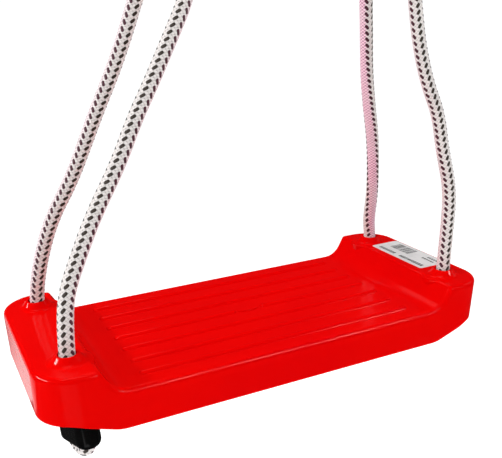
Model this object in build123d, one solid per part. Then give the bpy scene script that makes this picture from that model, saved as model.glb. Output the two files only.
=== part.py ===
from build123d import *
import os
from math import radians, tan

# A flat moulded swing seat on two doubled ropes. Millimetres, +Z up, +X to the right end of
# the seat, +Y to its back. Every piece is shaped in the seat's own frame, where the seat
# surface is z = 0, and is then lowered by SEAT_DROP, so that the origin is on the hanging line.

# ---- seat shell ---------------------------------------------------------------------------
SEAT_LENGTH = 400.0
SEAT_WIDTH = 176.0
TOP_CORNER_R = 30.0
BOTTOM_CORNER_R = 34.0
BOTTOM_INSET = 2.0  # how far each wall leans in on its way down
WALL = 3.2
TOP_EDGE_R = 4.0
BOTTOM_EDGE_R = 1.2

BLOCK_TOP = 19.0  # flat tops of the raised ends
HOLLOW_X = 134.0  # where the seat surface starts to curve up towards a raised end
HOLLOW_R = 20.0
SLOPE_DEG = 59.0
SHOULDER_R = 4.0
SKIRT_BOTTOM = -31.3
SKIRT_END_BOTTOM = -19.8  # the skirt is shallower under the raised ends
SKIRT_KINK_X = 144.0
SKIRT_END_X = 177.0
SKIRT_BEND_R = 30.0

BEAD_COUNT = 7
BEAD_PITCH = 22.4
BEAD_LENGTH = 246.0
BEAD_WIDTH = 7.0
BEAD_HEIGHT = 1.9
BEAD_ROOT = 0.5  # how far a bead reaches into the shell
BADGE_LENGTH = 20.0
BADGE_WIDTH = 9.0
BADGE_HEIGHT = 1.0
BADGE_GAP = 2.0  # between the badge and each half of the middle bead

STIFFENER_T = 2.2
STIFFENER_BOTTOM = -17.0
CROSS_STIFFENERS_X = (-150, -100, -50, 0, 50, 100, 150)
LONG_STIFFENERS_Y = (-44, 0, 44)

# ---- rope holes ---------------------------------------------------------------------------
ROPE_D = 12.0
HOLE_X = 172.0
HOLE_Y = 57.4
HOLE_D = 14.0
COLLAR_TOP = 24.6
COLLAR_TOP_R = 8.6
COLLAR_KNEE = (12.6, 19.4)  # radius and height where the steep part meets the flared foot
COLLAR_FOOT = (19.0, 18.4)  # the foot shows as a crescent where the raised end falls away
COLLAR_FLARE_R = 5.0
COLLAR_FOOT_EDGE_R = 1.0
BOSS_BOTTOM = 13.0
RIM_R = 0.7
SLEEVE_R = 10.5
SLEEVE_BOTTOM = 8.0

# ---- label, rings, washers, knots ---------------------------------------------------------
LABEL_CENTRE = (179.6, 3.0)
LABEL_SIZE = (31.5, 78.0)
LABEL_CORNER_R = 2.5
LABEL_T = 0.4

RING_WIRE_D = 8.0
RING_INNER_D = 40.0
BAR_Z = 338.0  # centre of the ring wire that the rope lies over
LEFT_RING_X = -40.0
RIGHT_RING_X = 138.0

WASHER_R = 17.0
WASHER_T = 2.0
KNOT_R = 15.5
KNOT_HEIGHT = 24.0
KNOT_EDGE_R = 7.5

# ---- rope adjusters and rope ends ---------------------------------------------------------
ADJUSTER_SPACING = 26.0  # between the centres of an adjuster's two rope holes
ADJUSTER_WIDTH = 19.0
ADJUSTER_HEIGHT = 22.0
ADJUSTER_EDGE_R = 1.4
ADJUSTER_LOWER_R = 6.0
ADJUSTER_HOLE_D = 13.2
MOUTH_R = 1.3
SADDLE_R = 5.2  # the bar between the two holes, which the rope turns under
SADDLE_BELOW_TOP = 11.3
# Where the middle of each adjuster's top face is. The left one hangs turned and tilted.
LEFT_ADJUSTER = Pos(-169.1, -53.8, -28.3) * Rot(0, 0, 12.4) * Rot(-11.1, 0, 0)
RIGHT_ADJUSTER = Pos(172.0, -44.4, -15.0)
END_SLEEVE_R = 6.8
END_SLEEVE_LENGTH = 22.0
END_SLEEVE_EDGE_R = 1.5

RING_CENTRE_Z = BAR_Z + (RING_INNER_D + RING_WIRE_D) / 2
SEAT_DROP = RING_CENTRE_Z + RING_INNER_D / 2  # hanging line to seat surface
WASHER_BOTTOM = SLEEVE_BOTTOM - WASHER_T
BELOW_ALL = -80.0  # any height that is clear below the seat
CLEAR = 5.0  # how far a cutting shape runs past what it cuts
OUTLINE_X = 190.0  # edges centred beyond these run round the outside of the seat
OUTLINE_Y = 60.0
SAME = 0.01  # two lengths nearer than this are the same

# ---- rope routes --------------------------------------------------------------------------
# A rope starts at its stopper knot under the rear hole, goes up the rear fall, over the ring
# wire and down the front fall. Its tail starts inside the front collar and goes on down,
# through the adjuster and back up into the hollow seat.
JUNCTION_Z = 18.0
ARC_SHARE = 0.45  # of the shorter run at a bend, which the bend's arc may use up
LEFT_ROPE = [
    (-172, 57.4, WASHER_BOTTOM), (-172, 57.4, 26), (-166, 53, 59), (-154, 47, 96),
    (-136, 43, 126), (-124, 39, 153), (-112, 35, 181), (-98, 30, 211), (-86, 25, 241),
    (-75, 20, 273), (-59, 15, 304), (-41, 11, 327), (-40, 10.5, 348.5), (-40, -10.5, 348.5),
    (-40, -11, 326), (-43, -16, 300), (-51, -21, 267), (-69, -26, 237), (-86, -30, 208),
    (-102, -34, 183), (-118, -39, 153), (-140, -44, 120), (-154, -48, 94), (-168, -53, 66),
    (-172, -57.4, 32), (-172, -57.4, JUNCTION_Z),
]
LEFT_TAIL = [
    (-172, -57.4, JUNCTION_Z), (-172, -57.4, 0), (-166.6, -64.9, -19), (-165.3, -71, -50.8),
    (-170.8, -46.1, -55.8), (-172.1, -40, -24), (-172.5, -35, -10), (-172.5, -24, 0), (-172, -9, 2),
]
RIGHT_ROPE = [
    (172, 57.4, WASHER_BOTTOM), (172, 57.4, 24), (168, 55, 44), (169, 51, 71),
    (166, 46, 103), (161.5, 42, 134), (153, 37, 166), (146, 32, 199), (141, 26, 233),
    (136, 21, 266), (136, 16, 300), (138, 11, 326), (138, 10.5, 348.5), (138, -10.5, 348.5),
    (138.5, -11, 327), (148, -15, 306), (156, -20, 277), (157, -24, 249), (159, -28, 221),
    (165, -33, 190), (175.5, -37, 163), (177.5, -42, 132), (184, -48, 94), (178, -53, 58),
    (172, -57.4, 30), (172, -57.4, JUNCTION_Z),
]
RIGHT_TAIL = [
    (172, -57.4, JUNCTION_Z), (172, -57.4, -39.7), (172, -31.4, -39.7), (172, -31.4, -12),
    (171.5, -27, 0), (171, -16, 5), (170, -2, 6),
]


# ---- seat shell ---------------------------------------------------------------------------
def wall_column(inset):
    """The seat's leaning walls as a tall block, with rounder corners at the bottom."""
    levels = [
        (BLOCK_TOP + CLEAR, inset, TOP_CORNER_R),
        (SKIRT_BOTTOM - CLEAR, inset + BOTTOM_INSET, BOTTOM_CORNER_R),
    ]
    outlines = []
    for z, margin, corner_r in levels:
        size = (SEAT_LENGTH - 2 * margin, SEAT_WIDTH - 2 * margin)
        outlines.append(Pos(0, 0, z) * RectangleRounded(*size, corner_r - inset))
    return loft(outlines, ruled=True)


def side_view(depth, lower_right):
    """The seat from the front, with its top line lowered by depth, as a face in X and Z."""
    foot_x = HOLLOW_X + (HOLLOW_R + depth) * tan(radians(SLOPE_DEG) / 2)
    shoulder_x = foot_x + BLOCK_TOP / tan(radians(SLOPE_DEG))
    end_x = SEAT_LENGTH / 2 + CLEAR
    right = [(foot_x, -depth), (shoulder_x, BLOCK_TOP - depth), (end_x, BLOCK_TOP - depth)]
    right += lower_right
    left = [(-x, z) for x, z in reversed(right)]
    rounding = {
        foot_x: HOLLOW_R + depth,
        shoulder_x: SHOULDER_R - depth,
        SKIRT_KINK_X: SKIRT_BEND_R,
        SKIRT_END_X: SKIRT_BEND_R,
    }
    face = make_face(Polyline(*right, *left, close=True))
    for x, radius in rounding.items():
        corners = [v for v in face.vertices() if abs(abs(v.X) - x) < SAME]
        if corners:
            face = fillet(corners, radius)
    return face


def through_width(face):
    """A side view carried through the whole width of the seat."""
    upright = Plane.XZ * face
    return extrude(upright, amount=SEAT_WIDTH, both=True)


def outline_edges(solid, lowest, highest):
    """The edges between the two heights that run round the outside of the seat."""
    found = []
    for edge in solid.edges():
        box = edge.bounding_box()
        centre = box.center()
        on_outline = abs(centre.Y) > OUTLINE_Y or abs(centre.X) > OUTLINE_X
        if on_outline and box.min.Z > lowest and box.max.Z < highest:
            found.append(edge)
    return found


def outer_block():
    """The outside of the shell, still solid."""
    end_x = SEAT_LENGTH / 2 + CLEAR
    skirt = [(end_x, SKIRT_END_BOTTOM), (SKIRT_END_X, SKIRT_END_BOTTOM)]
    skirt.append((SKIRT_KINK_X, SKIRT_BOTTOM))
    block = wall_column(0) & through_width(side_view(0, skirt))
    block = fillet(outline_edges(block, -1, BLOCK_TOP + 1), TOP_EDGE_R)
    return fillet(outline_edges(block, SKIRT_BOTTOM - 1, SKIRT_END_BOTTOM + 1), BOTTOM_EDGE_R)


def hollow_space():
    """The space under the shell, which is open at the bottom."""
    end_x = SEAT_LENGTH / 2 + CLEAR
    return wall_column(WALL) & through_width(side_view(WALL, [(end_x, BELOW_ALL)]))


def stiffeners(hollow):
    """Thin ribs under the seat surface, cut to fill the hollow from wall to wall."""
    top = BLOCK_TOP
    height = top - STIFFENER_BOTTOM
    middle_z = (top + STIFFENER_BOTTOM) / 2
    reach = 2 * max(CROSS_STIFFENERS_X)
    ribs = [Pos(x, 0, middle_z) * Box(STIFFENER_T, SEAT_WIDTH, height) for x in CROSS_STIFFENERS_X]
    ribs += [Pos(0, y, middle_z) * Box(reach, STIFFENER_T, height) for y in LONG_STIFFENERS_Y]
    return [rib & hollow for rib in ribs]


def bead(y, start_x, end_x):
    """A low rounded bead along the seat surface, with rounded ends."""
    radius = (BEAD_WIDTH**2 / 4 + BEAD_HEIGHT**2) / (2 * BEAD_HEIGHT)
    axis_z = BEAD_HEIGHT - radius
    first = start_x + BEAD_WIDTH / 2
    last = end_x - BEAD_WIDTH / 2
    middle = Pos((first + last) / 2, y, axis_z)
    capsule = middle * Rot(0, 90, 0) * Cylinder(radius, last - first)
    capsule += [Pos(x, y, axis_z) * Sphere(radius) for x in (first, last)]
    keep_height = 2 * (BEAD_HEIGHT + BEAD_ROOT)
    keep_size = (BEAD_LENGTH + CLEAR, BEAD_WIDTH + CLEAR, keep_height)
    return capsule & Pos((first + last) / 2, y, BEAD_HEIGHT) * Box(*keep_size)


def beads():
    """The anti-slip beads: the middle one makes room for the badge."""
    half = BEAD_LENGTH / 2
    gap = BADGE_LENGTH / 2 + BADGE_GAP
    made = []
    for i in range(BEAD_COUNT):
        y = (i - (BEAD_COUNT - 1) / 2) * BEAD_PITCH
        spans = [(-half, -gap), (gap, half)] if i == BEAD_COUNT // 2 else [(-half, half)]
        made += [bead(y, start, end) for start, end in spans]
    return made


def badge():
    """A plain raised oval in the middle of the seat."""
    oval = extrude(Pos(0, 0, -1) * Ellipse(BADGE_LENGTH / 2, BADGE_WIDTH / 2), BADGE_HEIGHT + 1)
    return fillet(oval.edges().group_by(Axis.Z)[-1], BADGE_HEIGHT / 2)


def collar():
    """A collar on a raised end, rounded at its rim and flared out at its foot."""
    top_r, (foot_r, _) = COLLAR_TOP_R, COLLAR_FOOT
    outline = [(0, BOSS_BOTTOM), (foot_r, BOSS_BOTTOM), COLLAR_FOOT, COLLAR_KNEE]
    outline += [(top_r, COLLAR_TOP), (0, COLLAR_TOP)]
    face = make_face(Polyline(*outline, close=True))
    rounding = {COLLAR_FOOT: COLLAR_FOOT_EDGE_R, COLLAR_KNEE: COLLAR_FLARE_R,
                (top_r, COLLAR_TOP): RIM_R}
    for (r, z), radius in rounding.items():
        corner = [v for v in face.vertices() if abs(v.X - r) < SAME and abs(v.Y - z) < SAME]
        face = fillet(corner, radius)
    return revolve(Plane.XZ * face, Axis.Z)


def sleeve():
    """The tube under a rope hole, which the knot washer bears against."""
    height = BLOCK_TOP - WALL / 2 - SLEEVE_BOTTOM
    return Pos(0, 0, SLEEVE_BOTTOM + height / 2) * Cylinder(SLEEVE_R, height)


def seat_shell():
    hollow = hollow_space()
    holes = Locations(*[(x, y) for x in (-HOLE_X, HOLE_X) for y in (-HOLE_Y, HOLE_Y)])
    shell = outer_block() - hollow
    shell += [place * collar() for place in holes]
    shell += [place * sleeve() for place in holes]
    shell += stiffeners(hollow)
    shell += beads()
    shell += badge()
    bore_height = 2 * COLLAR_TOP
    return shell - [place * Cylinder(HOLE_D / 2, bore_height) for place in holes]


# ---- pieces on the seat and the ropes -----------------------------------------------------
def rating_label():
    place = Pos(*LABEL_CENTRE, BLOCK_TOP)
    return place * extrude(RectangleRounded(*LABEL_SIZE, LABEL_CORNER_R), LABEL_T)


def ring(x):
    wire_centre_r = (RING_INNER_D + RING_WIRE_D) / 2
    return Pos(x, 0, RING_CENTRE_Z) * Rot(90, 0, 0) * Torus(wire_centre_r, RING_WIRE_D / 2)


def knot_washer(x):
    disc = Cylinder(WASHER_R, WASHER_T) - Cylinder(HOLE_D / 2, WASHER_T)
    return Pos(x, HOLE_Y, WASHER_BOTTOM + WASHER_T / 2) * disc


def rear_knot(x):
    """The outer shape of the stopper knot, which is pulled up against its washer."""
    barrel = fillet(Cylinder(KNOT_R, KNOT_HEIGHT).edges(), KNOT_EDGE_R)
    return Pos(x, HOLE_Y, WASHER_BOTTOM - KNOT_HEIGHT / 2) * barrel


def adjuster():
    """A two-hole rope adjuster, with its top face at z = 0 and its holes in front and behind."""
    plan = SlotCenterToCenter(ADJUSTER_SPACING, ADJUSTER_WIDTH, rotation=90)
    body = extrude(plan, -ADJUSTER_HEIGHT)
    body = fillet(body.edges().group_by(Axis.Z)[-1], ADJUSTER_EDGE_R)
    body = fillet(body.edges().group_by(Axis.Z)[0], ADJUSTER_LOWER_R)
    half = ADJUSTER_SPACING / 2
    places = [Pos(0, y, 0) for y in (-half, half)]
    body -= [place * Cylinder(ADJUSTER_HOLE_D / 2, 3 * ADJUSTER_HEIGHT) for place in places]
    mouths = [
        edge for edge in body.edges().filter_by(GeomType.CIRCLE)
        if abs(edge.radius - ADJUSTER_HOLE_D / 2) < SAME and abs(edge.center().Z) < SAME
    ]
    body = fillet(mouths, MOUTH_R)
    depth = ADJUSTER_HEIGHT - SADDLE_BELOW_TOP
    groove = Pos(0, 0, -SADDLE_BELOW_TOP - depth / 2) * Box(ADJUSTER_HOLE_D, ADJUSTER_SPACING, depth)
    saddle = Pos(0, 0, -SADDLE_BELOW_TOP) * Rot(0, 90, 0) * Cylinder(SADDLE_R, ADJUSTER_HOLE_D)
    return body - (groove - saddle)


# ---- ropes --------------------------------------------------------------------------------
def rope_path(points):
    """Straight runs joined by arcs, each as large as the shorter run beside it allows."""
    radii = []
    for before, here, after in zip(points, points[1:], points[2:]):
        run_in = Vector(*here) - Vector(*before)
        run_out = Vector(*after) - Vector(*here)
        turn = radians(run_in.get_angle(run_out))
        radii.append(ARC_SHARE * min(run_in.length, run_out.length) / tan(turn / 2))
    print("radii", [round(radius) for radius in radii])
    return FilletPolyline(*points, radius=radii)


def rope(name, points):
    """A plain round tube along the route."""
    path = rope_path(points)
    section = Plane(origin=path @ 0, z_dir=path % 0) * Circle(ROPE_D / 2)
    tube = sweep(section, path=path)
    filled = tube.volume / (section.area * path.length)
    print(f"{name}: {path.length:.0f} mm long, volume / (section x length) = {filled:.3f}")
    return tube


def end_sleeve(points):
    """A shrunk sleeve that closes the free end of a tail."""
    end = Vector(*points[-1])
    frame = Plane(origin=end, z_dir=end - Vector(*points[-2]))
    body = extrude(frame * Circle(END_SLEEVE_R), END_SLEEVE_LENGTH)
    return fillet(body.edges().filter_by(GeomType.CIRCLE), END_SLEEVE_EDGE_R)


# ---- every node ---------------------------------------------------------------------------
def build_nodes():
    nodes = {"seat_shell": seat_shell(), "rating_label": rating_label()}
    sides = [
        ("left", -HOLE_X, LEFT_RING_X, LEFT_ADJUSTER, LEFT_ROPE, LEFT_TAIL),
        ("right", HOLE_X, RIGHT_RING_X, RIGHT_ADJUSTER, RIGHT_ROPE, RIGHT_TAIL),
    ]
    for side, hole_x, ring_x, adjuster_place, route, tail in sides:
        nodes[f"{side}_ring"] = ring(ring_x)
        nodes[f"{side}_rope"] = rope(f"{side}_rope", route)
        nodes[f"{side}_rope_tail"] = rope(f"{side}_rope_tail", tail)
        nodes[f"{side}_adjuster"] = adjuster_place * adjuster()
        nodes[f"{side}_tail_sleeve"] = end_sleeve(tail)
        nodes[f"{side}_rear_knot"] = rear_knot(hole_x)
        nodes[f"{side}_knot_washer"] = knot_washer(hole_x)
    return nodes


os.makedirs("parts", exist_ok=True)
for name, shape in build_nodes().items():
    export_step(Pos(0, 0, -SEAT_DROP) * shape, f"parts/{name}.step")
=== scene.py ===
from math import cos, pi, radians, sin, tau

import bmesh
import bpy
import numpy as np
from mathutils import Matrix, Vector


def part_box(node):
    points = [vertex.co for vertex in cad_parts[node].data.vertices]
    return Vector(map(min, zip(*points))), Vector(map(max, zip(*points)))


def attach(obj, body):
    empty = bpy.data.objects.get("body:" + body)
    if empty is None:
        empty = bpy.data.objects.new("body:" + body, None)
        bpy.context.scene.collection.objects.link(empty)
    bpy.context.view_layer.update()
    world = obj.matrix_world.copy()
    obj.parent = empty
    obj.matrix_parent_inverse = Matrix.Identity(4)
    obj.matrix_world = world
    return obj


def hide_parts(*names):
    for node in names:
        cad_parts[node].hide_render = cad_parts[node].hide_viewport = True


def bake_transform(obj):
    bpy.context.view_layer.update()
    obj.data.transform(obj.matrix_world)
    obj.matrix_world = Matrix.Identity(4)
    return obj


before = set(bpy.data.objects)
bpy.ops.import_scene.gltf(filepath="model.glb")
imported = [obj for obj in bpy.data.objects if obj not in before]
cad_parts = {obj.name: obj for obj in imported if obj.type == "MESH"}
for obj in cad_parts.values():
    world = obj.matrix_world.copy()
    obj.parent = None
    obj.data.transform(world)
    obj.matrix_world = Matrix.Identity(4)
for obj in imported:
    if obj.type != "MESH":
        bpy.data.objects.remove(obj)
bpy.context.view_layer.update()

# Metres. The row's origin is on the hanging line; the seat's own heights start at its surface.
MM = 0.001
SEAT_Z = -0.382
ROPE_D = 0.012
FLOOR_Z = -0.95
FLOOR_HALF = 1.6
FLOOR_GLOW = 0.62
# How bright the world is as soft light, as what glossy surfaces mirror, and as the background.
WORLD_LIGHT = 0.42
WORLD_GLOSS = 0.04
WORLD_SHOWN = 1.05
CAMERA_PLACE = Vector((-0.2578, -0.5437, 0.2608 + SEAT_Z))


# ---- camera -------------------------------------------------------------------------------
def make_camera():
    """A 52 mm lens in front of the seat's left end, a little above it, looking at its middle."""
    data = bpy.data.cameras.new("camera")
    data.sensor_width = 36.0
    data.lens = 52.24
    data.shift_x = -0.0079
    data.clip_start = 0.02
    camera = bpy.data.objects.new("camera", data)
    forward = Vector((0.42140, 0.85739, -0.29549)).normalized()
    right = Vector((0.89349, -0.44829, -0.02653))
    right = (right - forward * right.dot(forward)).normalized()
    up = right.cross(forward)
    place = Matrix((right, up, -forward)).transposed().to_4x4()
    place.translation = CAMERA_PLACE
    camera.matrix_world = place
    bpy.context.scene.collection.objects.link(camera)
    bpy.context.scene.camera = camera


# ---- rope routes --------------------------------------------------------------------------
# Millimetres in the seat's own frame, as in the part's source: from the stopper knot under
# the rear hole, over the ring wire, down the front fall and through the adjuster to the end.
WASHER_BOTTOM = 6
HOLE_Y = 57.4  # the rear hole's place; the front hole is at minus this
LEFT_ROUTE = [
    (-172, 57.4, WASHER_BOTTOM), (-172, 57.4, 26), (-166, 53, 59), (-154, 47, 96),
    (-136, 43, 126), (-124, 39, 153), (-112, 35, 181), (-98, 30, 211), (-86, 25, 241),
    (-75, 20, 273), (-59, 15, 304), (-41, 11, 327), (-40, 10.5, 348.5), (-40, -10.5, 348.5),
    (-40, -11, 326), (-43, -16, 300), (-51, -21, 267), (-69, -26, 237), (-86, -30, 208),
    (-102, -34, 183), (-118, -39, 153), (-140, -44, 120), (-154, -48, 94), (-168, -53, 66),
    (-172, -57.4, 32), (-172, -57.4, 0), (-166.6, -64.9, -19), (-165.3, -71, -50.8),
    (-170.8, -46.1, -55.8), (-172.1, -40, -24), (-172.5, -35, -10), (-172.5, -24, 0), (-172, -9, 2),
]
RIGHT_ROUTE = [
    (172, 57.4, WASHER_BOTTOM), (172, 57.4, 24), (168, 55, 44), (169, 51, 71),
    (166, 46, 103), (161.5, 42, 134), (153, 37, 166), (146, 32, 199), (141, 26, 233),
    (136, 21, 266), (136, 16, 300), (138, 11, 326), (138, 10.5, 348.5), (138, -10.5, 348.5),
    (138.5, -11, 327), (148, -15, 306), (156, -20, 277), (157, -24, 249), (159, -28, 221),
    (165, -33, 190), (175.5, -37, 163), (177.5, -42, 132), (184, -48, 94), (178, -53, 58),
    (172, -57.4, 30), (172, -57.4, -13.7), (172, -57.4, -39.7), (172, -31.4, -39.7),
    (172, -31.4, -12), (171.5, -27, 0), (171, -16, 5), (170, -2, 6),
]

# The rope's pattern: four columns of dark flecks run along it, and the side without any is tinted
# pink. Each column: degrees round the rope, the way its flecks lean, their colour and size.
PURPLE_YARN = (0.060, 0.006, 0.018)
BROWN_YARN = (0.030, 0.018, 0.010)
GREY_YARN = (0.05, 0.05, 0.055)
FLECK_COLUMNS = ((0, -1, PURPLE_YARN, 1.0), (60, 1, BROWN_YARN, 1.0),
                 (112, -1, GREY_YARN, 0.6), (240, 1, PURPLE_YARN, 1.0))
FLECK_PERIOD = 5.6 * MM
FLECK_LENGTH = 4.8 * MM
FLECK_WIDTH = 2.7 * MM
FLECK_SLANT = radians(37)
PINK_MIDDLE = 300
NET_COLUMNS = 18
NET_PERIOD = 2.8 * MM

# Where the first column faces, in degrees to the right of a viewer at the camera, at heights
# above the seat. Past the ring the right rope's pattern runs the other way.
LEFT_FACING = {"back": ((25, -31), (275, -31)), "front": ((25, 43), (275, 43))}
RIGHT_FACING = {"back": ((30, 112), (75, 76), (95, 55), (130, 39), (161, 29), (214, 9), (275, 4)),
                "front": ((30, -18), (110, -25), (150, -35), (275, -39))}
RING_STEP = 0.6 * MM
AROUND = 56
NET_RELIEF = 0.30 * MM
FLECK_RELIEF = 0.22 * MM
RELIEF_SUNK = 0.25 * MM  # the relief starts this far inside the rope's radius


def in_row(point):
    """A point of the seat's own frame, in millimetres, as a point of the row frame."""
    x, y, z = point
    return Vector((x * MM, y * MM, z * MM + SEAT_Z))


def route_points(name, route, step):
    """Evenly spaced points along the smooth NURBS line of a route."""
    curve = bpy.data.curves.new(name + "_line", "CURVE")
    curve.dimensions = "3D"
    curve.resolution_u = 24
    spline = curve.splines.new("NURBS")
    spline.points.add(len(route) - 1)
    for target, point in zip(spline.points, route):
        target.co = (*in_row(point), 1)
    spline.order_u = 3
    spline.use_endpoint_u = True
    holder = bpy.data.objects.new(name + "_line", curve)
    mesh = bpy.data.meshes.new_from_object(holder)
    line = np.array([v.co for v in mesh.vertices])
    bpy.data.objects.remove(holder)
    bpy.data.meshes.remove(mesh)
    bpy.data.curves.remove(curve)
    along = np.concatenate([[0], np.cumsum(np.linalg.norm(np.diff(line, axis=0), axis=1))])
    even = np.linspace(0, along[-1], int(round(along[-1] / step)) + 1)
    return np.stack([np.interp(even, along, line[:, i]) for i in range(3)], axis=1), even


def unit(vectors):
    return vectors / np.linalg.norm(vectors, axis=-1, keepdims=True)


def carried_frames(points):
    """Tangents and side directions that turn with the line but never twist about it."""
    tangents = unit(np.gradient(points, axis=0))
    side = np.cross(tangents[0], (0.0, 0.0, 1.0))
    if np.linalg.norm(side) < 0.1:
        side = np.cross(tangents[0], (1.0, 0.0, 0.0))
    sides = np.empty_like(points)
    for i, tangent in enumerate(tangents):
        side = side - tangent * np.dot(side, tangent)
        side = side / np.linalg.norm(side)
        sides[i] = side
    return tangents, sides, np.cross(tangents, sides)


def pattern_turn(points, tangents, sides, ups, facing_table):
    """The angle of the first fleck column at each point, in the carried frame."""
    facing = np.array(CAMERA_PLACE) - points
    facing_angle = np.arctan2((facing * ups).sum(1), (facing * sides).sum(1))
    height = (points[:, 2] - SEAT_Z) / MM
    to_right = np.sign(tangents[:, 2])
    turn = np.full(len(points), np.nan)
    for fall, on_side in (("back", points[:, 1] > 0), ("front", points[:, 1] < 0)):
        heights, angles = zip(*facing_table[fall])
        on_fall = on_side & (height > heights[0]) & (height < heights[-1])
        extra = to_right * np.radians(np.interp(height, heights, angles))
        turn[on_fall] = (facing_angle + extra)[on_fall]
    known = ~np.isnan(turn)
    steps = np.arange(len(points))
    turn[known] = np.unwrap(turn[known])
    return np.interp(steps, steps[known], turn[known])


def net_relief(turns, along):
    """The small diamond cells of the braid, from 0 in the gaps to 1 on the cells."""
    across = pi * NET_COLUMNS * turns / 2
    lengthways = pi * along / NET_PERIOD
    return np.sqrt(np.abs(np.cos(across + lengthways) * np.cos(across - lengthways)))


def fleck_relief(turns, along):
    """The dark yarns' floats, which stand a little higher than the rest."""
    height = np.zeros_like(turns)
    for i, (column, lean, _, size) in enumerate(FLECK_COLUMNS):
        offset = (turns - column / 360 + 0.5) % 1 - 0.5
        x = offset * tau * ROPE_D / 2
        y = ((along / FLECK_PERIOD + i / 2 + 0.5) % 1 - 0.5) * FLECK_PERIOD
        slant = lean * FLECK_SLANT
        long_way = x * sin(slant) + y * cos(slant)
        short_way = x * cos(slant) - y * sin(slant)
        inside = 1 - (2 * long_way / FLECK_LENGTH) ** 4 - (2 * short_way / FLECK_WIDTH) ** 2
        height = np.maximum(height, size * np.clip(inside, 0, 1))
    return height


def rope_mesh(name, points, along, turn, radius, material, way=None):
    """A braided tube with its pattern in a UV map: turns round it, and metres along it.

    way is 1 or -1 at each point, for the direction that the pattern runs in.
    """
    tangents, sides, ups = carried_frames(points)
    way = np.ones(len(points)) if way is None else way
    turns = way[:, None] * np.arange(AROUND + 1) / AROUND
    lay = np.repeat(along[:, None], AROUND + 1, axis=1)
    relief = NET_RELIEF * net_relief(turns, lay) + FLECK_RELIEF * fleck_relief(turns, lay)
    angle = tau * np.arange(AROUND) / AROUND + turn[:, None]
    spokes = np.cos(angle)[..., None] * sides[:, None] + np.sin(angle)[..., None] * ups[:, None]
    shell = points[:, None] + spokes * (radius - RELIEF_SUNK + relief[:, :AROUND])[..., None]
    rings = len(points)
    vertices = np.concatenate([shell.reshape(-1, 3), points[:1], points[-1:]])
    ring, spoke = np.meshgrid(np.arange(rings - 1), np.arange(AROUND), indexing="ij")
    beside = (spoke + 1) % AROUND
    quads = np.stack([ring * AROUND + spoke, ring * AROUND + beside,
                      (ring + 1) * AROUND + beside, (ring + 1) * AROUND + spoke], axis=-1)
    faces = quads.reshape(-1, 4).tolist()
    first, last = rings * AROUND, rings * AROUND + 1
    for k in range(AROUND):
        following = (k + 1) % AROUND
        faces.append((first, following, k))
        faces.append((last, last - 1 - AROUND + k, last - 1 - AROUND + following))
    mesh = bpy.data.meshes.new(name)
    mesh.from_pydata(vertices.tolist(), [], faces)
    corner_turns = np.stack([spoke, spoke + 1, spoke + 1, spoke], axis=-1) / AROUND
    corner_turns = corner_turns * way[ring][..., None]
    corner_along = np.stack([along[ring], along[ring], along[ring + 1], along[ring + 1]], axis=-1)
    uv = np.stack([corner_turns, corner_along], axis=-1).reshape(-1, 2)
    end_uv = np.zeros((AROUND * 6, 2))
    mesh.uv_layers.new(name="lay").data.foreach_set("uv", np.concatenate([uv, end_uv]).ravel())
    mesh.polygons.foreach_set("use_smooth", [True] * len(mesh.polygons))
    mesh.materials.append(material)
    piece = bpy.data.objects.new(name, mesh)
    bpy.context.scene.collection.objects.link(piece)
    return piece


# ---- material helpers ---------------------------------------------------------------------
class Nodes:
    """A material's node tree, with short calls for the nodes used here."""

    def __init__(self, name):
        self.material = bpy.data.materials.new(name)
        self.material.use_nodes = True
        self.tree = self.material.node_tree
        self.tree.nodes.clear()
        self.shader = self.new("ShaderNodeBsdfPrincipled")
        output = self.new("ShaderNodeOutputMaterial")
        self.tree.links.new(self.shader.outputs[0], output.inputs["Surface"])

    def new(self, kind, **settings):
        node = self.tree.nodes.new(kind)
        for key, value in settings.items():
            setattr(node, key, value)
        return node

    def put(self, socket, value):
        if isinstance(value, bpy.types.NodeSocket):
            self.tree.links.new(value, socket)
        else:
            socket.default_value = value

    def math(self, operation, *values):
        node = self.new("ShaderNodeMath", operation=operation)
        for socket, value in zip(node.inputs, values):
            self.put(socket, value)
        return node.outputs[0]

    def mix(self, factor, a, b):
        node = self.new("ShaderNodeMix", data_type="RGBA")
        self.put(node.inputs["Factor"], factor)
        self.put(node.inputs["A"], a)
        self.put(node.inputs["B"], b)
        return node.outputs["Result"]

    def noise(self, scale, detail=3.0, stretch=(1, 1, 1)):
        place = self.new("ShaderNodeTexCoord")
        mapping = self.new("ShaderNodeMapping")
        mapping.inputs["Scale"].default_value = stretch
        self.tree.links.new(place.outputs["Object"], mapping.inputs["Vector"])
        node = self.new("ShaderNodeTexNoise")
        node.inputs["Scale"].default_value = scale
        node.inputs["Detail"].default_value = detail
        self.tree.links.new(mapping.outputs[0], node.inputs["Vector"])
        return node.outputs["Fac"]

    def ramp(self, value, low, high, to_low=0.0, to_high=1.0):
        node = self.new("ShaderNodeMapRange")
        node.interpolation_type = "SMOOTHSTEP"
        node.clamp = True
        for socket, number in zip(node.inputs, (value, low, high, to_low, to_high)):
            self.put(socket, number)
        return node.outputs[0]

    def bump(self, height, distance, strength=1.0):
        node = self.new("ShaderNodeBump")
        node.inputs["Distance"].default_value = distance
        node.inputs["Strength"].default_value = strength
        self.tree.links.new(height, node.inputs["Height"])
        self.tree.links.new(node.outputs[0], self.shader.inputs["Normal"])

    def set(self, **values):
        for name, value in values.items():
            self.put(self.shader.inputs[name.replace("_", " ")], value)
        return self.material


def rgb(red, green, blue):
    return (red, green, blue, 1.0)


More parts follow.
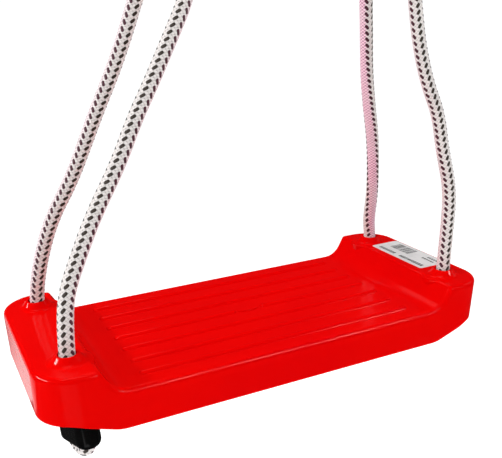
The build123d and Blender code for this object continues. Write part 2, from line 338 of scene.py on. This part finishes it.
def rope_material(name, pink):
    """White braid with four columns of dark flecks and a side that is pink, more or less."""
    n = Nodes(name)
    uv = n.new("ShaderNodeUVMap", uv_map="lay").outputs[0]
    split = n.new("ShaderNodeSeparateXYZ")
    n.tree.links.new(uv, split.inputs[0])
    turns, along = split.outputs[0], split.outputs[1]
    across = n.math("MULTIPLY", turns, pi * NET_COLUMNS / 2)
    lengthways = n.math("MULTIPLY", along, pi / NET_PERIOD)
    one = n.math("COSINE", n.math("ADD", across, lengthways))
    other = n.math("COSINE", n.math("SUBTRACT", across, lengthways))
    cell = n.math("ABSOLUTE", n.math("MULTIPLY", one, other))
    fibre = n.noise(2600, 2.0)
    pinkness = n.ramp(circle_distance(n, turns, PINK_MIDDLE / 360), 0.10, 0.19, 1.0, 0.0)
    patch = n.ramp(n.noise(28, 2.0), 0.35, 0.65, 0.7 * pink, pink)
    this_way = n.ramp(turns, -0.01, 0.01, 0.25, 1.0)
    ring_fade = n.ramp(n.math("ABSOLUTE", along), 8 * MM, 40 * MM)
    for share in (patch, this_way, ring_fade):
        pinkness = n.math("MULTIPLY", pinkness, share)
    # Gaps between the braid's cells are painted darker: painted shade in the recesses.
    white = n.mix(pinkness, rgb(0.80, 0.75, 0.73), rgb(0.98, 0.66, 0.79))
    painted_gap_shade = n.mix(pinkness, rgb(0.50, 0.46, 0.45), rgb(0.36, 0.08, 0.20))
    colour = n.mix(n.ramp(cell, 0.0, n.ramp(pinkness, 0.0, 1.0, 0.30, 0.42)), painted_gap_shade, white)
    colour = n.mix(n.ramp(fibre, 0.3, 0.75, 0.0, 0.16), colour, rgb(0.45, 0.42, 0.40))
    for index, (column, lean, yarn, size) in enumerate(FLECK_COLUMNS):
        mask = fleck_mask(n, turns, along, index, column, lean, size)
        colour = n.mix(mask, colour, rgb(*yarn))
    n.bump(n.math("ADD", n.math("MULTIPLY", cell, 0.7), n.math("MULTIPLY", fibre, 0.3)), 0.25 * MM)
    return n.set(Base_Color=colour, Roughness=0.78, Specular_IOR_Level=0.25, Sheen_Weight=0.15)


# Added before a fraction is taken, so that it is never taken of a negative number.
WHOLE_TURNS = 2
WHOLE_PERIODS = 200


def circle_distance(n, turns, middle):
    """How many turns a place is from the middle, the short way round."""
    offset = n.math("FRACT", n.math("ADD", turns, WHOLE_TURNS + 0.5 - middle))
    return n.math("ABSOLUTE", n.math("SUBTRACT", offset, 0.5))


def fleck_mask(n, turns, along, index, column, lean, size):
    """1 on the slanting flecks of one column, 0 elsewhere."""
    offset = n.math("FRACT", n.math("ADD", turns, WHOLE_TURNS + 0.5 - column / 360))
    x = n.math("MULTIPLY", n.math("SUBTRACT", offset, 0.5), tau * ROPE_D / 2)
    lengths = n.math("DIVIDE", along, FLECK_PERIOD)
    step = n.math("FRACT", n.math("ADD", lengths, index / 2 + 0.5 + WHOLE_PERIODS))
    y = n.math("MULTIPLY", n.math("SUBTRACT", step, 0.5), FLECK_PERIOD)
    slant = lean * FLECK_SLANT
    long_way = n.math("ADD", n.math("MULTIPLY", x, sin(slant)), n.math("MULTIPLY", y, cos(slant)))
    short_way = n.math("SUBTRACT", n.math("MULTIPLY", x, cos(slant)),
                       n.math("MULTIPLY", y, sin(slant)))
    long_share = n.math("ABSOLUTE", n.math("MULTIPLY", long_way, 2 / (FLECK_LENGTH * size)))
    short_share = n.math("ABSOLUTE", n.math("MULTIPLY", short_way, 2 / (FLECK_WIDTH * size)))
    edge = n.math("ADD", n.math("POWER", long_share, 4.0), n.math("POWER", short_share, 2.5))
    return n.ramp(edge, 0.75, 1.15, 1.0, 0.0)


def seat_material():
    """Glossy red moulded plastic: a faint flow pattern, fine orange peel and a few dull rubs."""
    n = Nodes("seat_red_plastic")
    cloud = n.ramp(n.noise(9, 4.0), 0.3, 0.7)
    colour = n.mix(cloud, rgb(0.735, 0.0003, 0.0008), rgb(0.780, 0.0008, 0.0004))
    rub = n.ramp(n.noise(60, 6.0, (0.25, 1, 1)), 0.56, 0.74)
    roughness = n.math("ADD", 0.09, n.math("MULTIPLY", rub, 0.08))
    n.bump(n.noise(420, 2.0), 0.02 * MM, 0.15)
    return n.set(Base_Color=colour, Roughness=roughness, Specular_IOR_Level=0.035, IOR=1.5)


def black_plastic(name, shade, roughness):
    n = Nodes(name)
    colour = n.mix(n.ramp(n.noise(70, 4.0), 0.35, 0.7), rgb(*shade), rgb(*[1.6 * c for c in shade]))
    scuff = n.ramp(n.noise(240, 6.0), 0.5, 0.75)
    n.bump(n.noise(900, 3.0), 0.03 * MM, 0.5)
    rough = n.math("ADD", roughness, n.math("MULTIPLY", scuff, 0.08))
    return n.set(Base_Color=colour, Roughness=rough, Specular_IOR_Level=0.2)


def zinc_steel(name, roughness):
    """Galvanised steel: pale spangle patches and fine drawing marks."""
    n = Nodes(name)
    spangle = n.new("ShaderNodeTexVoronoi")
    spangle.inputs["Scale"].default_value = 420
    place = n.new("ShaderNodeTexCoord")
    n.tree.links.new(place.outputs["Object"], spangle.inputs["Vector"])
    tone = n.ramp(spangle.outputs["Distance"], 0.1, 0.8)
    colour = n.mix(tone, rgb(0.62, 0.63, 0.65), rgb(0.42, 0.44, 0.46))
    marks = n.noise(300, 5.0)
    n.bump(marks, 0.05 * MM, 0.6)
    rough = n.math("ADD", roughness, n.math("MULTIPLY", n.ramp(marks, 0.4, 0.7), 0.18))
    return n.set(Base_Color=colour, Roughness=rough, Metallic=0.95)


def label_film():
    n = Nodes("label_film")
    colour = n.mix(n.ramp(n.noise(120, 5.0), 0.35, 0.75), rgb(0.76, 0.74, 0.74),
                   rgb(0.66, 0.65, 0.65))
    n.bump(n.noise(700, 2.0), 0.02 * MM, 0.4)
    return n.set(Base_Color=colour, Roughness=0.42, Specular_IOR_Level=0.4)


def label_ink():
    n = Nodes("label_ink")
    colour = n.mix(n.ramp(n.noise(500, 4.0), 0.4, 0.7), rgb(0.01, 0.01, 0.01), rgb(0.04, 0.04, 0.04))
    n.bump(n.noise(900, 2.0), 0.01 * MM, 0.4)
    return n.set(Base_Color=colour, Roughness=0.5)


def floor_material():
    n = Nodes("studio_floor")
    colour = n.mix(n.noise(3, 2.0), rgb(0.90, 0.90, 0.90), rgb(0.93, 0.93, 0.93))
    return n.set(Base_Color=colour, Roughness=0.9, Specular_IOR_Level=0.1,
                 Emission_Color=rgb(1.0, 1.0, 1.0), Emission_Strength=FLOOR_GLOW)


def make_rope(side, route, facing_table, turned_past_ring, material):
    """One whole rope, from its knot over the ring and through the adjuster to its sleeve."""
    points, along = route_points(f"{side}_rope", route, RING_STEP)
    tangents, sides, ups = carried_frames(points)
    turn = pattern_turn(points, tangents, sides, ups, facing_table)
    from_ring = along - along[points[:, 2].argmax()]
    way = np.ones(len(points))
    if turned_past_ring:
        way[from_ring >= 0] = -1
    piece = rope_mesh(f"{side}_braided_rope", points, way * from_ring, turn, ROPE_D / 2,
                      material, way)
    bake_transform(piece)
    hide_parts(f"{side}_rope", f"{side}_rope_tail")
    return piece, points, along[-1]


# A knot's places are millimetres in the seat's own frame.
SQUEEZED_R = 4.7 * MM
CORE_R = ROPE_D / 2 - 0.2 * MM
WRAP_R = 10.92
WRAP_POINTS = 8
WRAP_TOP = 0.9
WRAP_BOTTOM = -12.9
WRAP_TURNS = 1.75


def make_knot(side, x, hand, material):
    """A stopper knot: the rope goes down its middle, and is wrapped nearly twice round itself."""
    y = HOLE_Y
    core = [(x, y, WASHER_BOTTOM), (x, y, -6), (x + 1.5 * hand, y + 0.5, -14),
            (x + 2.5 * hand, y + 1.5, -27)]
    wraps = [(x + 2 * hand, y, 1.5), (x + 6 * hand, y + 1, 1.2)]
    steps = int(WRAP_POINTS * WRAP_TURNS)
    for k in range(steps + 1):
        angle = hand * tau * k / WRAP_POINTS
        z = WRAP_TOP + (WRAP_BOTTOM - WRAP_TOP) * k / steps
        wraps.append((x + hand * WRAP_R * cos(angle), y + WRAP_R * sin(angle), z))
    wraps.append((x, y - 4, WRAP_BOTTOM - 0.5))
    parts = []
    for name, route, radius in (("core", core, CORE_R), ("wraps", wraps, SQUEEZED_R)):
        points, along = route_points(f"{side}_knot_{name}", route, RING_STEP)
        turn = np.linspace(0, 2, len(points))
        parts.append(rope_mesh(f"{side}_knot_{name}", points, along + 0.1, turn, radius, material))
    joined = bmesh.new()
    for part in parts:
        joined.from_mesh(part.data)
    piece = parts[0]
    joined.to_mesh(piece.data)
    joined.free()
    piece.name = f"{side}_stopper_knot"
    bpy.data.objects.remove(parts[1])
    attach(piece, "seat")
    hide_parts(f"{side}_rear_knot")
    return piece


# ---- label --------------------------------------------------------------------------------
# Shares of the label: x0, x1 across it, then from where to where along it.
BAR_BLOCK = (0.46, 0.88, 0.50, 0.86)
BAR_WIDTHS = (0.006, 0.010, 0.016)
BAR_GAPS = (0.007, 0.011, 0.016)
DASH_ROWS = ((0.12, 0.24, 0.06, 0.50), (0.12, 0.24, 0.60, 0.92),
             (0.60, 0.68, 0.08, 0.30), (0.76, 0.84, 0.08, 0.26))
DASH_WIDTHS = (0.018, 0.034)
DASH_GAP = 0.012
LABEL_SEED = 7
INK_PROUD = 0.04 * MM
INK_SUNK = 0.1 * MM
INK_BEVEL = 0.02 * MM
INK_INSET = 0.03 * MM


def ink_blocks():
    """Rows of generic marks on the label: a block of bars, and dashes where lines of text go.

    Each is (x0, x1, y0, y1) in shares of the label, x across it and y along it.
    """
    blocks = []
    rng = np.random.default_rng(LABEL_SEED)
    x0, x1, along, bars_end = BAR_BLOCK
    while along < bars_end:
        width = rng.choice(BAR_WIDTHS)
        blocks.append((x0, x1, along, along + width))
        along += width + rng.choice(BAR_GAPS)
    for x0, x1, start, stop in DASH_ROWS:
        along = start
        while along < stop:
            width = rng.uniform(*DASH_WIDTHS)
            blocks.append((x0, x1, along, min(along + width, stop)))
            along += width + DASH_GAP
    return blocks


def make_label_ink(material):
    low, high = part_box("rating_label")
    top = high[2] + INK_PROUD
    under = high[2] - INK_SUNK
    mesh = bmesh.new()
    for x0, x1, y0, y1 in ink_blocks():
        corners = [(x0, y0), (x1, y0), (x1, y1), (x0, y1)]
        rings = []
        for inset, z in ((0, under), (0, top - INK_BEVEL), (INK_INSET, top)):
            ring = []
            for i, (u, v) in enumerate(corners):
                x = low[0] + u * (high[0] - low[0]) + (inset if i in (0, 3) else -inset)
                y = low[1] + v * (high[1] - low[1]) + (inset if i in (0, 1) else -inset)
                ring.append(mesh.verts.new((x, y, z)))
            rings.append(ring)
        for lower, upper in zip(rings, rings[1:]):
            for i in range(4):
                j = (i + 1) % 4
                mesh.faces.new((lower[i], lower[j], upper[j], upper[i]))
        mesh.faces.new(rings[-1])
        mesh.faces.new(rings[0][::-1])
    data = bpy.data.meshes.new("label_marks")
    mesh.to_mesh(data)
    mesh.free()
    data.materials.append(material)
    piece = bpy.data.objects.new("label_marks", data)
    bpy.context.scene.collection.objects.link(piece)
    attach(piece, "seat")
    return piece


# ---- the CAD nodes' own materials ---------------------------------------------------------
def dress(material, *nodes):
    for node in nodes:
        piece = bpy.data.objects[node]
        for material_slot in piece.material_slots:
            material_slot.material = material
        if not piece.material_slots:
            piece.data.materials.append(material)


# ---- stage --------------------------------------------------------------------------------
def make_floor():
    """A pale floor that lights the seat from below, but which glossy surfaces don't mirror."""
    mesh = bpy.data.meshes.new("floor")
    corners = [(x * FLOOR_HALF, y * FLOOR_HALF, FLOOR_Z) for x, y in
               ((-1, -1), (1, -1), (1, 1), (-1, 1))]
    mesh.from_pydata(corners, [], [(0, 1, 2, 3)])
    mesh.materials.append(floor_material())
    floor = bpy.data.objects.new("floor", mesh)
    bpy.context.scene.collection.objects.link(floor)
    floor.visible_glossy = False


def area_light(name, place, target, size, size_y, power, shine_only):
    """A lamp facing the target. One that is shine_only shows in reflections and lights nothing."""
    data = bpy.data.lights.new(name, "AREA")
    data.shape = "RECTANGLE"
    data.size = size
    data.size_y = size_y
    data.energy = power
    lamp = bpy.data.objects.new(name, data)
    lamp.location = place
    lamp.visible_diffuse = not shine_only
    lamp.rotation_euler = (Vector(target) - Vector(place)).to_track_quat("-Z", "Y").to_euler()
    bpy.context.scene.collection.objects.link(lamp)


SEAT_MIDDLE = (0.0, 0.0, SEAT_Z)
SEAT_LEFT_END = (-0.2, 0.0, SEAT_Z)
# Name, place, what it faces, width and height in metres, watts, and whether it is shine only.
LAMPS = (
    ("strip", (-1.4, 0.2, 0.25), SEAT_MIDDLE, 1.0, 0.045, 11, False),
    ("window", (0.65, -1.35, 0.45), SEAT_MIDDLE, 1.2, 0.07, 7, False),
    ("top", (-0.3, 0.0, 1.4), SEAT_MIDDLE, 1.0, 1.0, 12, False),
    ("side", (1.7, -0.2, 0.5), SEAT_MIDDLE, 0.9, 0.9, 3, False),
    ("back", (0.1, 1.2, 1.3), SEAT_MIDDLE, 0.8, 0.8, 4, False),
    ("under", (-0.5, -0.7, -0.9), SEAT_MIDDLE, 0.6, 0.6, 1, False),
    ("strip_shine", (-1.4, 0.2, 0.25), SEAT_MIDDLE, 0.9, 0.20, 60, True),
    ("window_shine", (0.72, -1.14, 0.59), SEAT_MIDDLE, 1.0, 0.16, 32, True),
    ("low_shine", (-0.80, 1.10, -0.78), SEAT_LEFT_END, 1.1, 0.7, 2.6, True),
)


def make_world():
    """White behind everything, dimmer as light, and nearly dark in reflections."""
    world = bpy.data.worlds.new("studio")
    world.use_nodes = True
    nodes, links = world.node_tree.nodes, world.node_tree.links
    rays = nodes.new("ShaderNodeLightPath")
    shade = None
    for kind, strength in ((None, WORLD_LIGHT), ("Is Glossy Ray", WORLD_GLOSS),
                           ("Is Camera Ray", WORLD_SHOWN)):
        background = nodes.new("ShaderNodeBackground")
        background.inputs["Color"].default_value = rgb(1.0, 1.0, 1.0)
        background.inputs["Strength"].default_value = strength
        if kind is None:
            shade = background.outputs[0]
            continue
        mix = nodes.new("ShaderNodeMixShader")
        links.new(rays.outputs[kind], mix.inputs["Fac"])
        links.new(shade, mix.inputs[1])
        links.new(background.outputs[0], mix.inputs[2])
        shade = mix.outputs[0]
    links.new(shade, nodes["World Output"].inputs["Surface"])
    bpy.context.scene.world = world


# ---- everything ---------------------------------------------------------------------------
make_camera()
for side, route, facing_table, turned, bend_bottom, hand, pink in (
        ("left", LEFT_ROUTE, LEFT_FACING, False, -26, 1, 0.35),
        ("right", RIGHT_ROUTE, RIGHT_FACING, True, -13, -1, 1.0)):
    braid = rope_material(f"{side}_rope_braid", pink)
    x = route[0][0]
    rope, points, length = make_rope(side, route, facing_table, turned, braid)
    knot = make_knot(side, x, hand, braid)

dress(seat_material(), "seat_shell")
dress(label_film(), "rating_label")
make_label_ink(label_ink())
dress(zinc_steel("galvanised_ring", 0.32), "left_ring", "right_ring")
dress(zinc_steel("zinc_washer", 0.26), "left_knot_washer", "right_knot_washer")
dress(black_plastic("adjuster_black", (0.002, 0.002, 0.002), 0.06), "left_adjuster",
      "right_adjuster")
dress(black_plastic("sleeve_black", (0.004, 0.004, 0.004), 0.28), "left_tail_sleeve",
      "right_tail_sleeve")
make_floor()
for lamp in LAMPS:
    area_light(*lamp)
make_world()
bpy.context.scene.view_settings.view_transform = "Standard"
